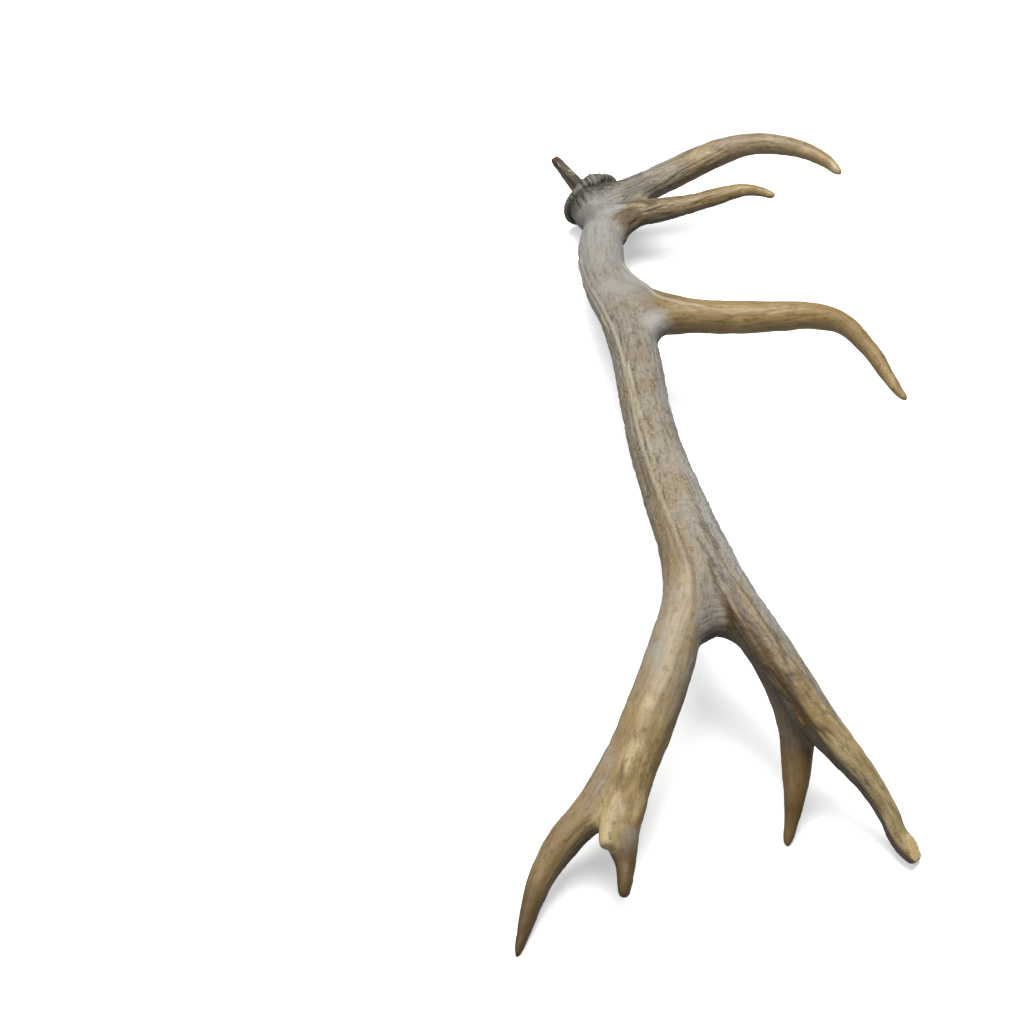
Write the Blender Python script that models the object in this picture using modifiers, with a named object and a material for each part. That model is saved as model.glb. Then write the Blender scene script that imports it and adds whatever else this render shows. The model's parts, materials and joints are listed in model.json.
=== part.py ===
"""Antler of a red deer stag, lying on its burr and the tips of its crown.

The antler grew as one piece and is parted at its main forks with hair-thin
saw cuts. A whittled wooden peg sits in a hole drilled into the sawn base.
+X is the side the brow tine points to, +Y runs towards the burr, +Z is up.
The origin is under the middle of the antler, on the surface it lies on.
"""

import math

import bmesh
import bpy
from mathutils import Matrix, Vector, noise
from mathutils.kdtree import KDTree

MM = 0.001
NAME = "deer_antler"

# Where the origin lies among the numbers below.
ORIGIN = Vector((0.1, 2.1, -0.7)) * MM

# Centre lines of the growth: x, y, z and radius in millimetres.
BEAM = (
    (-100, 424.5, 34.5, 24),
    (-98, 401.5, 36.5, 22.5),
    (-91.5, 372, 41.5, 17.3),
    (-93, 315, 52, 23.5),
    (-90.5, 247, 64, 22.3),
    (-76.5, 168, 81, 22),
    (-69, 110, 91, 22.5),
    (-64, 26, 101, 22),
    (-57.5, -47, 107, 22.5),
    (-51, -110, 109, 19.2),
    (-43, -169, 108, 18.3),
    (-43.5, -218, 105, 18.5),
    (-55, -262, 98, 20.4),
)
REAR_CROWN = (
    (-43, -169, 108, 18.3),
    (-43.5, -218, 105, 18.5),
    (-55, -262, 98, 20.4),
    (-67, -297, 89, 21.4),
    (-81, -332, 77, 21.6),
    (-92, -365, 63, 18),
    (-95.5, -383, 56, 16.5),
    (-99, -399, 51, 14.9),
    (-98.5, -414, 46, 12.5),
    (-97, -427, 41, 8.5),
    (-98, -440, 38, 6.8),
    (-99.5, -454, 33, 4.7),
)
REAR_TINE = (
    (-87.5, -327, 74, 14.5),
    (-98, -349, 66, 15.2),
    (-110, -367, 56, 15),
    (-123, -384, 46, 15.1),
    (-142.5, -402, 35, 14),
    (-161.5, -430, 22, 10.5),
    (-172.5, -460, 8.5, 6.9),
    (-176.5, -473, 3.5, 5),
    (-180, -485, -0.5, 3.2),
)
STUMP = (
    (-105, -387, 59, 11),
    (-109.5, -402, 58, 9.3),
    (-112.5, -413, 56, 7.4),
    (-114.5, -421, 54, 5.2),
)
FRONT_CROWN = (
    (-67, 70, 95, 12),
    (-60, 31, 101, 15.5),
    (-50.5, -55, 108, 19.3),
    (-35, -121, 111, 19.3),
    (-19.5, -177, 111, 19.5),
    (-2, -221, 108, 18.5),
    (17, -256, 101, 18.5),
    (36.5, -289, 91, 17.4),
    (57, -318, 77, 15.5),
    (76.5, -338, 63, 13.3),
    (96, -354.5, 46, 10.7),
    (112, -373, 27, 9),
    (119, -385, 16, 8.4),
    (124.5, -392.5, 10.5, 9),
    (131, -401, 8, 8.8),
)
INNER_TINE = (
    (-7, -217, 94, 12),
    (13, -241, 85, 13.5),
    (33.5, -279, 67, 13),
    (43.5, -310, 51, 14.5),
    (43.5, -322, 42, 13.7),
    (41.5, -344, 29, 10.7),
    (38, -366, 13, 6.7),
    (35.5, -375, 5, 5.4),
    (33.5, -383.5, -1, 3.4),
)
CROWN_WEB = (
    (-58, -266, 93, 11),
    (-46, -250, 97, 12),
    (-33, -240, 99, 13.5),
    (-19, -234, 102, 14),
    (-7, -235.5, 100, 14),
    (5, -242.5, 97, 13.8),
    (18, -258, 94, 11),
)
TREZ_WEB = (
    (-88, 296, 58, 11),
    (-82, 272, 62, 12.5),
    (-75, 241, 70, 13),
    (-66, 219, 77, 12.7),
    (-56, 195, 84, 14),
    (-40, 172, 92, 12),
    (-20, 155, 99, 10),
)
BEZ_WEB = (
    (-90, 326, 49, 14),
    (-79, 341, 50, 14.6),
    (-71, 355, 51, 13),
    (-59, 366, 52, 12),
    (-42, 372, 54, 9),
)
TREZ = (
    (-86, 207, 74, 21.5),
    (-53, 171, 88, 24.5),
    (-39, 161, 94, 20.5),
    (-7, 147, 103, 16),
    (30, 138, 109, 15.7),
    (67, 137, 111, 14.5),
    (100, 138.5, 110, 12.8),
    (126, 133, 105, 10.4),
    (147, 114, 94, 8.6),
    (157, 101, 87, 8.2),
    (164.5, 87.5, 81, 6.9),
    (171.5, 78, 75, 6),
    (181.5, 64, 70, 3.4),
)
BROW = (
    (-92, 412, 37, 21),
    (-63, 414, 50, 15.3),
    (-33, 416, 63, 16.2),
    (-2, 422, 77, 15.7),
    (29, 429.5, 89, 14.7),
    (60, 433, 98, 12),
    (90, 428, 102, 10.7),
    (120, 415, 103, 9.2),
    (142, 397, 101, 7.2),
    (148, 388, 100, 6),
    (154.5, 379, 99, 3.2),
)
BEZ = (
    (-85, 376.5, 42.5, 19.5),
    (-60, 380, 49, 13.5),
    (-34, 375.5, 56, 13.2),
    (-4, 376, 63, 10.4),
    (27, 380.5, 70, 9.4),
    (56, 385, 75, 7.4),
    (68, 385, 75, 6.2),
    (77, 383, 75, 5),
    (84, 381, 75, 4),
    (90, 378.5, 75, 3),
)
LINES = (BEAM, REAR_CROWN, REAR_TINE, STUMP, FRONT_CROWN, INNER_TINE, CROWN_WEB,
         TREZ_WEB, BEZ_WEB, TREZ, BROW, BEZ)

# Raised seams down the beam: the points they follow, the side they lie on and their height.
SEAMS = (
    (BEAM[3:], (-0.9, -0.2, 0.5), 1.8),
    (BEAM[6:] + REAR_CROWN[3:8], (0.1, -0.5, 0.8), 1.5),
)

# Burr: the ring of pearls round the base, square to the direction that the base points in.
BURR = Vector((-100.1, 428.6, 33.3)) * MM
OUTWARD = Vector((-0.51, 0.83, 0.16)).normalized()
BURR_RADIUS = 28.8 * MM
SKIRT_RADIUS = 24 * MM
SKIRT_DEPTH = 12 * MM
PEARLS = 34
PEARL_RADIUS = 4.6 * MM
STUB_RADIUS = 22 * MM
STUB_LENGTH = 6.5 * MM

# Peg: a split of wood in a hole that clears it. Each shaving has the way it faces in degrees
# and its distance from the middle in millimetres, at the sawn base and at the tip.
PEG_IN = 24 * MM
PEG_OUT = 61 * MM
PEG_SHIFT = Vector((-2, -0.8, 0)) * MM
PEG_BLANK = 9.5 * MM
PEG_CLEARANCE = 0.3 * MM
SHAVINGS = (
    (10, 7.2, 3.9),
    (98, 7.5, 3.6),
    (186, 7.0, 4.0),
    (275, 7.6, 3.7),
    (52, 8.9, 4.8),
    (143, 8.7, 4.6),
    (231, 8.9, 5.0),
    (322, 9.0, 4.7),
    (75, 17, 2.8),
    (165, 21, 2.6),
    (300, 19, 2.9),
)

# Cuts at the forks: the line, its point that the cut goes through, and the reach of the cut.
KERF = 0.3 * MM
CUTS = (
    (BROW, 3, 19),
    (BEZ, 3, 14),
    (TREZ, 3, 26),
    (REAR_CROWN, 3, 32),
    (FRONT_CROWN, 6, 40),
    (REAR_TINE, 4, 19),
    (INNER_TINE, 5, 17),
)

VOXEL = 2.2 * MM
SMOOTHING = 5
CROTCH = 6 * MM
FURROW_DEPTH = 1.3 * MM
LUMP_DEPTH = 0.6 * MM
ANTLER_TRIANGLES = 8600

# Each piece of bone: a point of a line that lies in it, its colour and how rough it is.
BONE = {
    "main_beam": (BEAM[5], (0.36, 0.31, 0.24), 0.62),
    "brow_tine": (BROW[5], (0.42, 0.34, 0.22), 0.5),
    "bez_tine": (BEZ[4], (0.44, 0.36, 0.23), 0.5),
    "trez_tine": (TREZ[6], (0.47, 0.35, 0.19), 0.45),
    "rear_crown_branch": (REAR_CROWN[5], (0.42, 0.35, 0.22), 0.5),
    "rear_crown_tine": (REAR_TINE[6], (0.25, 0.19, 0.12), 0.5),
    "front_crown_branch": (FRONT_CROWN[9], (0.40, 0.32, 0.21), 0.5),
    "inner_crown_tine": (INNER_TINE[6], (0.24, 0.17, 0.08), 0.45),
}
PEG_COLOUR = (0.16, 0.09, 0.05)


def clear_scene():
    for old in list(bpy.data.objects):
        bpy.data.objects.remove(old, do_unlink=True)


def collection(name, helper=False):
    made = bpy.data.collections.new(name)
    made.hide_render = helper
    bpy.context.scene.collection.children.link(made)
    return made


def material(name, colour, roughness):
    made = bpy.data.materials.new(name)
    made.use_nodes = True
    shader = made.node_tree.nodes["Principled BSDF"]
    shader.inputs["Base Color"].default_value = (*colour, 1)
    shader.inputs["Roughness"].default_value = roughness
    shader.inputs["Metallic"].default_value = 0
    made.diffuse_color = (*colour, 1)
    return made


def add(name, mesh, where):
    made = bpy.data.objects.new(name, mesh)
    if where.hide_render:
        made.display_type = "WIRE"
        made.hide_render = True
    where.objects.link(made)
    return made


def from_bmesh(name, bm, where):
    bmesh.ops.recalc_face_normals(bm, faces=bm.faces)
    mesh = bpy.data.meshes.new(name)
    bm.to_mesh(mesh)
    bm.free()
    return add(name, mesh, where)


def baked(obj, name, where):
    """A mesh object of what obj looks like with its modifiers; obj is removed."""
    bpy.context.view_layer.update()
    shown = obj.evaluated_get(bpy.context.evaluated_depsgraph_get())
    mesh = bpy.data.meshes.new_from_object(shown)
    mesh.transform(obj.matrix_world)
    bpy.data.objects.remove(obj, do_unlink=True)
    return add(name, mesh, where)


def facing(direction):
    return direction.to_track_quat("Z", "Y").to_matrix().to_4x4()


def tube(line, where):
    """A round growth along a centre line, as thick as its radii say."""
    curve = bpy.data.curves.new("growth", "CURVE")
    curve.dimensions = "3D"
    curve.bevel_depth = MM
    curve.bevel_resolution = 4
    curve.resolution_u = 6
    curve.use_fill_caps = True
    spline = curve.splines.new("BEZIER")
    spline.bezier_points.add(len(line) - 1)
    for point, (x, y, z, radius) in zip(spline.bezier_points, line):
        point.co = Vector((x, y, z)) * MM
        point.radius = radius
        point.handle_left_type = point.handle_right_type = "AUTO"
    growth = baked(add("growth", curve, where), "growth", where)
    bm = bmesh.new()
    bm.from_mesh(growth.data)
    bmesh.ops.remove_doubles(bm, verts=bm.verts, dist=0.01 * MM)
    bm.to_mesh(growth.data)
    bm.free()
    return growth


def seam(line, side, height, where):
    """A raised bead along a centre line, on the side that it is given, sunk at both ends."""
    points = [Vector(point[:3]) for point in line]
    bead = []
    for k, point in enumerate(points):
        ahead = points[min(k + 1, len(points) - 1)] - points[max(k - 1, 0)]
        out = Vector(side)
        out = (out - out.project(ahead)).normalized()
        radius = line[k][3]
        thick = 0.3 * radius
        rise = height if 0 < k < len(points) - 1 else -1.5 * thick
        bead.append((*(point + out * (radius + rise - thick)), thick))
    return tube(bead, where)


def base_lumps(where):
    """The sawn stub, the skirt of the burr and its pearls, as loose lumps to be fused."""
    frame = Matrix.Translation(BURR) @ facing(OUTWARD)
    bm = bmesh.new()
    bmesh.ops.create_cone(
        bm, cap_ends=True, segments=32, radius1=STUB_RADIUS + 3 * MM, radius2=STUB_RADIUS,
        depth=STUB_LENGTH + 28 * MM,
        matrix=frame @ Matrix.Translation((0, 0, (STUB_LENGTH - 16 * MM) / 2)),
    )
    bmesh.ops.create_cone(
        bm, cap_ends=True, segments=40, radius1=SKIRT_RADIUS, radius2=BURR_RADIUS,
        depth=SKIRT_DEPTH, matrix=frame @ Matrix.Translation((0, 0, -SKIRT_DEPTH / 2)),
    )
    for k in range(PEARLS):
        turn = math.tau * k / PEARLS
        uneven = noise.noise(Vector((3 * math.cos(turn), 3 * math.sin(turn), 5.0)))
        size = PEARL_RADIUS * (1.05 + 0.55 * uneven + 0.12 * (-1) ** k)
        out = BURR_RADIUS + 1.5 * MM * uneven
        along = -2 * MM + 3 * MM * noise.noise(Vector((k * 1.7, 0.4, 2.2)))
        place = frame @ Matrix.Rotation(turn, 4, "Z") @ Matrix.Translation((out, 0, along))
        stretch = Matrix.Diagonal((1.05, 0.8, 1.5, 1))
        bmesh.ops.create_icosphere(bm, subdivisions=2, radius=size, matrix=place @ stretch)
    return from_bmesh("base", bm, where)


def skin(obj):
    step = obj.modifiers.new("skin", "REMESH")
    step.mode = "VOXEL"
    step.voxel_size = VOXEL


def swell(obj, depth):
    step = obj.modifiers.new("swell", "DISPLACE")
    step.strength = depth
    step.mid_level = 0


def smooth(obj, times):
    step = obj.modifiers.new("smooth", "SMOOTH")
    step.factor = 0.5
    step.iterations = times


def joined(lumps, where):
    bm = bmesh.new()
    for lump in lumps:
        bm.from_mesh(lump.data)
        bpy.data.objects.remove(lump, do_unlink=True)
    return from_bmesh("antler", bm, where)


def fuse_limbs(limbs, where):
    """One skin round all the limbs; swollen and shrunk back, so that each crotch is rounded."""
    whole = joined(limbs, where)
    skin(whole)
    swell(whole, CROTCH)
    skin(whole)
    swell(whole, -CROTCH)
    skin(whole)
    smooth(whole, SMOOTHING)
    return baked(whole, "antler", where)


def fuse(lumps, where):
    """One closed skin round the limbs with the seams, the stub and the pearls on them."""
    whole = joined(lumps, where)
    skin(whole)
    smooth(whole, 3)
    return baked(whole, "antler", where)


def growth_samples():
    """Places along all the centre lines, each with its direction and its radius."""
    samples = []
    for line in LINES:
        for start, end in zip(line, line[1:]):
            a, b = Vector(start[:3]) * MM, Vector(end[:3]) * MM
            steps = max(2, int((b - a).length / (6 * MM)))
            for k in range(steps):
                t = k / steps
                radius = (start[3] + (end[3] - start[3]) * t) * MM
                samples.append((a.lerp(b, t), (b - a).normalized(), radius))
    return samples


def weather(antler):
    """Shallow lumps and lengthwise furrows, deeper on the beam than on the tines."""
    samples = growth_samples()
    tree = KDTree(len(samples))
    for k, (place, _, _) in enumerate(samples):
        tree.insert(place, k)
    tree.balance()
    bm = bmesh.new()
    bm.from_mesh(antler.data)
    bm.normal_update()
    moves = []
    for vert in bm.verts:
        _, k, _ = tree.find(vert.co)
        place, along, radius = samples[k]
        away = vert.co - place
        across = away - away.project(along)
        furrow = noise.noise(across * 150 + along * along.dot(vert.co) * 14)
        lump = noise.noise(vert.co * 90)
        thickness = min(radius / (20 * MM), 1.0) ** 2
        moves.append((FURROW_DEPTH * furrow + LUMP_DEPTH * lump) * thickness)
    for vert, move in zip(bm.verts, moves):
        vert.co += vert.normal * move
    bm.to_mesh(antler.data)
    bm.free()


def thin_out(antler, where):
    fewer = antler.modifiers.new("fewer", "DECIMATE")
    fewer.ratio = ANTLER_TRIANGLES / (2 * len(antler.data.polygons))
    fewer.use_collapse_triangulate = True
    return baked(antler, "antler", where)


def disc(name, centre, direction, radius, thick, where):
    bm = bmesh.new()
    bmesh.ops.create_cone(
        bm, cap_ends=True, segments=48, radius1=radius, radius2=radius, depth=thick,
        matrix=Matrix.Translation(centre) @ facing(direction),
    )
    return from_bmesh(name, bm, where)


def kerf(line, k, reach, where):
    """A hair-thin disc square across a line at its point k."""
    ahead = Vector(line[k + 1][:3]) - Vector(line[k - 1][:3])
    return disc("kerf", Vector(line[k][:3]) * MM, ahead, reach * MM, KERF, where)


def cut(antler, cutter, where):
    step = antler.modifiers.new("cut", "BOOLEAN")
    step.operation = "DIFFERENCE"
    step.solver = "EXACT"
    step.object = cutter
    return baked(antler, "antler", where)


def peg_solid(name, extra, where):
    """The peg's whittled form, or with extra all round the hole that takes it."""
    bm = bmesh.new()
    length = PEG_IN + PEG_OUT + 2 * extra
    bmesh.ops.create_cube(
        bm, size=1,
        matrix=Matrix.Translation((0, 0, (PEG_OUT - PEG_IN) / 2))
        @ Matrix.Diagonal((2 * PEG_BLANK, 2 * PEG_BLANK, length, 1)),
    )
    for turn, at_base, at_tip in SHAVINGS:
        side = Vector((math.cos(math.radians(turn)), math.sin(math.radians(turn)), 0))
        slope = (at_base - at_tip) * MM / PEG_OUT
        facet = side + Vector((0, 0, slope))
        bmesh.ops.bisect_plane(
            bm, geom=bm.verts[:] + bm.edges[:] + bm.faces[:], dist=0.001 * MM,
            plane_co=side * at_base * MM + facet.normalized() * extra, plane_no=facet,
            clear_outer=True,
        )
        bmesh.ops.holes_fill(bm, edges=[edge for edge in bm.edges if edge.is_boundary])
    root = BURR + OUTWARD * STUB_LENGTH + PEG_SHIFT
    bm.transform(Matrix.Translation(root) @ facing(OUTWARD))
    return from_bmesh(name, bm, where)


def shells_of(obj):
    """The separate shells of a mesh, each as its own BMesh."""
    bm = bmesh.new()
    bm.from_mesh(obj.data)
    left = set(bm.verts)
    shells = []
    while left:
        front = [left.pop()]
        shell = set(front)
        while front:
            for edge in front.pop().link_edges:
                for vert in edge.verts:
                    if vert in left:
                        left.remove(vert)
                        shell.add(vert)
                        front.append(vert)
        shells.append({vert.index for vert in shell})
    bm.free()
    made = []
    for shell in shells:
        piece = bmesh.new()
        piece.from_mesh(obj.data)
        gone = [vert for vert in piece.verts if vert.index not in shell]
        bmesh.ops.delete(piece, geom=gone)
        made.append(piece)
    return made


def grow_antler(parts, cutters):
    """The whole antler, its stub sawn flat and drilled for the peg."""
    lumps = [fuse_limbs([tube(line, parts) for line in LINES], parts)]
    lumps += [seam(line, side, height, parts) for line, side, height in SEAMS]
    lumps.append(base_lumps(parts))
    antler = fuse(lumps, parts)
    weather(antler)
    antler = thin_out(antler, parts)
    beyond = BURR + OUTWARD * (STUB_LENGTH + 20 * MM)
    antler = cut(antler, disc("sawn_off", beyond, OUTWARD, 45 * MM, 40 * MM, cutters), parts)
    return cut(antler, peg_solid("peg_hole", PEG_CLEARANCE, cutters), parts)


def part_at_forks(antler, parts, cutters):
    """Parts the antler at its forks and names each piece by the point that lies in it."""
    for line, k, reach in CUTS:
        antler = cut(antler, kerf(line, k, reach, cutters), parts)
    shells = shells_of(antler)
    bpy.data.objects.remove(antler, do_unlink=True)
    for name, (point, colour, roughness) in BONE.items():
        spot = Vector(point[:3]) * MM
        nearest = min(shells, key=lambda shell: min((v.co - spot).length for v in shell.verts))
        shells.remove(nearest)
        piece = from_bmesh(name, nearest, parts)
        piece.data.materials.append(material(name + "_bone", colour, roughness))
        piece.data.polygons.foreach_set("use_smooth", [True] * len(piece.data.polygons))
        piece.data.set_sharp_from_angle(angle=math.radians(40))


def build():
    clear_scene()
    parts = collection(NAME)
    cutters = collection("cutters", helper=True)
    antler = grow_antler(parts, cutters)
    part_at_forks(antler, parts, cutters)
    peg = peg_solid("peg", 0, parts)
    peg.data.materials.append(material("peg_wood", PEG_COLOUR, 0.6))
    for piece in parts.objects:
        piece.data.transform(Matrix.Translation(-ORIGIN))


build()
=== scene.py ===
# Finish of a red deer antler and of the whittled peg in its base, in metres, +Z up.
import json
import math

import bmesh
import bpy
import numpy as np
from mathutils import Matrix, Vector, noise
from mathutils.geometry import interpolate_bezier

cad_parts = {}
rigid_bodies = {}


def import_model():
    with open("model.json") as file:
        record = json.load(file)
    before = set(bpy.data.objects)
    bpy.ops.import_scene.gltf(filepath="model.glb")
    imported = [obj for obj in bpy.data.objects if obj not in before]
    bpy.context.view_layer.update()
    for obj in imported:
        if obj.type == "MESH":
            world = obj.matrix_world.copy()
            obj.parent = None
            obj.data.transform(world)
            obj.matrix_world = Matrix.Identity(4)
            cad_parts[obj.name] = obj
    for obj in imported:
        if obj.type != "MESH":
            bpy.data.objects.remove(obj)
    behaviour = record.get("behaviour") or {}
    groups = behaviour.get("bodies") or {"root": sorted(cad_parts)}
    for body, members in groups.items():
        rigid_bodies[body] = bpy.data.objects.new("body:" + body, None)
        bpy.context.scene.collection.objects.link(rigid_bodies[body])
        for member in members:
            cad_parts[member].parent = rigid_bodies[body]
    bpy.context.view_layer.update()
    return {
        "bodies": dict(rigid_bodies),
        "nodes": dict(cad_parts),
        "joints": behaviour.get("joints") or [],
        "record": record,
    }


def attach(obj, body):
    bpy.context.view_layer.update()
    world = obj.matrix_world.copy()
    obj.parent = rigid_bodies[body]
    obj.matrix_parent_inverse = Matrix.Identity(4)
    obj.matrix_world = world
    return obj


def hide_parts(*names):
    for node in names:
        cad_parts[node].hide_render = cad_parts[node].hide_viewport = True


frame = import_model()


# Limbs. The beam, its tines and the two arms of the crown grew as one piece of bone. Each is swept
# as a round ring along its centre line, and all are fused into one skin with rounded crotches.
MM = 0.001
ORIGIN = Vector((0.1, 2.1, -0.7))

# Centre lines in millimetres, before ORIGIN is taken off: x, y, z and radius.
STEM = (
    (-100, 424.5, 34.5, 24),
    (-98, 401.5, 36.5, 22.5),
    (-91.5, 372, 41.5, 17.3),
    (-93, 315, 52, 23.5),
    (-90.5, 247, 64, 22.3),
    (-76.5, 168, 81, 22),
    (-69, 110, 91, 22.5),
    (-64, 26, 101, 22),
    (-57.5, -47, 107, 22.5),
    (-51, -110, 109, 19.2),
    (-43, -169, 108, 18.3),
    (-43.5, -218, 105, 18.5),
    (-55, -262, 98, 20.4),
    (-67, -297, 89, 21.4),
    (-81, -332, 77, 21.6),
    (-92, -365, 63, 18),
    (-95.5, -383, 56, 16.5),
    (-99, -399, 51, 14.9),
    (-98.5, -414, 46, 12.5),
    (-97, -427, 41, 8.5),
    (-98, -440, 38, 6.8),
    (-99.5, -454, 33, 4.7),
)
REAR_TINE = (
    (-87.5, -327, 74, 14.5),
    (-98, -349, 66, 15.2),
    (-110, -367, 56, 15),
    (-123, -384, 46, 15.1),
    (-142.5, -402, 35, 14),
    (-161.5, -430, 22, 10.5),
    (-172.5, -460, 8.5, 6.9),
    (-176.5, -473, 3.5, 5),
    (-180, -485, -0.5, 3.2),
)
STUMP = (
    (-104, -387, 60, 10.5),
    (-108, -402, 59, 9),
    (-111, -414, 57, 7.4),
    (-112, -424, 55, 5.8),
)
FRONT_CROWN = (
    (-67, 70, 95, 12),
    (-60, 31, 101, 15.5),
    (-50.5, -55, 108, 19.3),
    (-35, -121, 111, 19.3),
    (-19.5, -177, 111, 19.5),
    (-2, -221, 108, 18.5),
    (17, -256, 101, 18.5),
    (36.5, -289, 91, 17.4),
    (57, -318, 77, 15.5),
    (76.5, -338, 63, 13.3),
    (96, -354.5, 46, 10.7),
    (112, -373, 27, 9),
    (119, -385, 16, 8.6),
    (127, -393, 11.5, 9.6),
    (134.5, -401, 9.5, 9.2),
)
INNER_TINE = (
    (-7, -217, 94, 12),
    (13, -241, 85, 13.5),
    (33.5, -279, 67, 13),
    (43.5, -310, 51, 14.5),
    (43.5, -322, 42, 13.7),
    (41.5, -344, 29, 10.7),
    (38, -366, 13, 6.7),
    (35.5, -375, 5, 5.4),
    (33.5, -383.5, -1, 3.4),
)
TREZ = (
    (-82, 203, 76, 20.5),
    (-55, 173, 87, 23.5),
    (-39, 161, 94, 20.5),
    (-7, 147, 103, 16),
    (30, 138, 109, 15.7),
    (67, 137, 111, 14.5),
    (100, 138.5, 110, 12.8),
    (126, 133, 105, 10.4),
    (147, 114, 94, 8.6),
    (157, 101, 87, 8.2),
    (164.5, 87.5, 81, 6.9),
    (171.5, 78, 75, 6),
    (181.5, 64, 70, 3.4),
)
BROW = (
    (-92, 412, 37, 21),
    (-63, 414, 50, 15.3),
    (-33, 416, 63, 16.2),
    (-2, 422, 77, 15.7),
    (29, 429.5, 89, 14.7),
    (60, 433, 98, 12),
    (90, 428, 102, 10.7),
    (120, 415, 103, 9.2),
    (142, 397, 101, 7.2),
    (148, 388, 100, 6),
    (154.5, 379, 99, 3.2),
)
BEZ = (
    (-85, 376.5, 42.5, 19.5),
    (-60, 380, 49, 13.5),
    (-34, 375.5, 56, 13.2),
    (-4, 376, 63, 10.4),
    (27, 380.5, 70, 9.4),
    (56, 385, 75, 7.4),
    (68, 384.5, 75, 6.2),
    (76, 382.5, 74.5, 5.4),
    (83, 379.5, 73.5, 5),
    (88.5, 377, 72.5, 4.2),
)
CROWN_WEB = (
    (-58, -266, 93, 11),
    (-46, -250, 97, 12),
    (-33, -240, 99, 13.5),
    (-19, -234, 102, 14),
    (-7, -235.5, 100, 14),
    (5, -242.5, 97, 13.8),
    (18, -258, 94, 11),
)
FORK_SADDLE = (
    (-33, -150, 109, 16),
    (-30, -185, 109, 15.5),
    (-27, -212, 107, 15),
    (-24, -232, 103, 14),
)
TREZ_WEB = (
    (-88, 296, 58, 11),
    (-82, 272, 62, 12.5),
    (-75, 241, 70, 13),
    (-66, 219, 77, 12.7),
    (-56, 195, 84, 14),
    (-40, 172, 92, 12),
    (-20, 155, 99, 10),
)
TREZ_CROTCH = (
    (-69, 100, 91, 14.5),
    (-60, 124, 94, 13.5),
    (-49, 142, 96, 13.5),
    (-22, 150, 99, 12),
)
BEZ_WEB = (
    (-90, 326, 49, 14),
    (-79, 341, 50, 14.6),
    (-71, 355, 51, 13),
    (-59, 366, 52, 12),
    (-42, 372, 54, 9),
)

CROTCH_FILL = 3.5 * MM
SKIN_STEP = 2.2 * MM
FINE_STEP = 1.42 * MM
ROUND_PULL = 2.5614


def growth_line(points, steps=6):
    """A smooth centre line through the points: places and radii, in metres."""
    spots = [(Vector(point[:3]) - ORIGIN) * MM for point in points]
    before = [2 * spots[0] - spots[1]] + spots[:-1]
    after = spots[1:] + [2 * spots[-1] - spots[-2]]
    handles = []
    for back, here, ahead in zip(before, spots, after):
        near, far = here - back, ahead - here
        lean = near.normalized() + far.normalized()
        pull = lean.length * ROUND_PULL
        handles.append((here - lean * near.length / pull, here + lean * far.length / pull))
    places, radii = [], []
    for k in range(len(spots) - 1):
        stretch = interpolate_bezier(
            spots[k], handles[k][1], handles[k + 1][0], spots[k + 1], steps + 1)
        places += [place.copy() for place in stretch[:-1]]
        radii += [points[k][3] + (points[k + 1][3] - points[k][3]) * i / steps
                  for i in range(steps)]
    return places + [spots[-1]], [radius * MM for radius in radii + [points[-1][3]]]


def headings(places):
    """The way ahead at each place of a line."""
    ahead = [(b - a).normalized() for a, b in zip(places, places[1:])]
    return [ahead[0]] + [(a + b).normalized() for a, b in zip(ahead, ahead[1:])] + [ahead[-1]]


def sweep(bm, places, radii, sides=28):
    """Draws a ring along a line, as wide as its radii say, and closes both ends."""
    ahead = headings(places)
    start = Matrix.Translation(places[0]) @ ahead[0].to_track_quat("Z", "Y").to_matrix().to_4x4()
    ring = bmesh.ops.create_circle(
        bm, segments=sides, radius=radii[0], cap_ends=False, matrix=start)["verts"]
    edges = list({edge for vert in ring for edge in vert.link_edges})
    bmesh.ops.edgeloop_fill(bm, edges=edges)
    for k in range(1, len(places)):
        grown = bmesh.ops.extrude_edge_only(bm, edges=edges)["geom"]
        ring = {item for item in grown if isinstance(item, bmesh.types.BMVert)}
        edges = [item for item in grown if isinstance(item, bmesh.types.BMEdge)
                 and set(item.verts) <= ring]
        turn = ahead[k - 1].rotation_difference(ahead[k]).to_matrix().to_4x4()
        move = (Matrix.Translation(places[k]) @ turn @ Matrix.Scale(radii[k] / radii[k - 1], 4)
                @ Matrix.Translation(-places[k - 1]))
        bmesh.ops.transform(bm, matrix=move, verts=list(ring))
    bmesh.ops.edgeloop_fill(bm, edges=edges)


def placed(name, bm):
    """A new object of what was modelled."""
    bmesh.ops.recalc_face_normals(bm, faces=bm.faces)
    mesh = bpy.data.meshes.new(name)
    bm.to_mesh(mesh)
    bm.free()
    piece = bpy.data.objects.new(name, mesh)
    bpy.context.scene.collection.objects.link(piece)
    return piece


def skin(piece, step):
    """Wraps a piece in one closed skin of small even faces."""
    wrap = piece.modifiers.new("skin", "REMESH")
    wrap.mode = "VOXEL"
    wrap.voxel_size = step


def swell(piece, depth):
    """Lets a piece grow outwards, or shrink where the depth is below nought."""
    grow = piece.modifiers.new("swell", "DISPLACE")
    grow.strength = depth
    grow.mid_level = 0


def smooth(piece, times):
    """Softens the steps that the skin leaves."""
    soften = piece.modifiers.new("smooth", "SMOOTH")
    soften.factor = 0.5
    soften.iterations = times


def settled(piece):
    """The mesh of a piece with its modifiers applied, as a bmesh; the piece goes."""
    bpy.context.view_layer.update()
    shown = piece.evaluated_get(bpy.context.evaluated_depsgraph_get())
    bm = bmesh.new()
    bm.from_mesh(shown.data)
    bpy.data.objects.remove(piece, do_unlink=True)
    return bm


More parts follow.
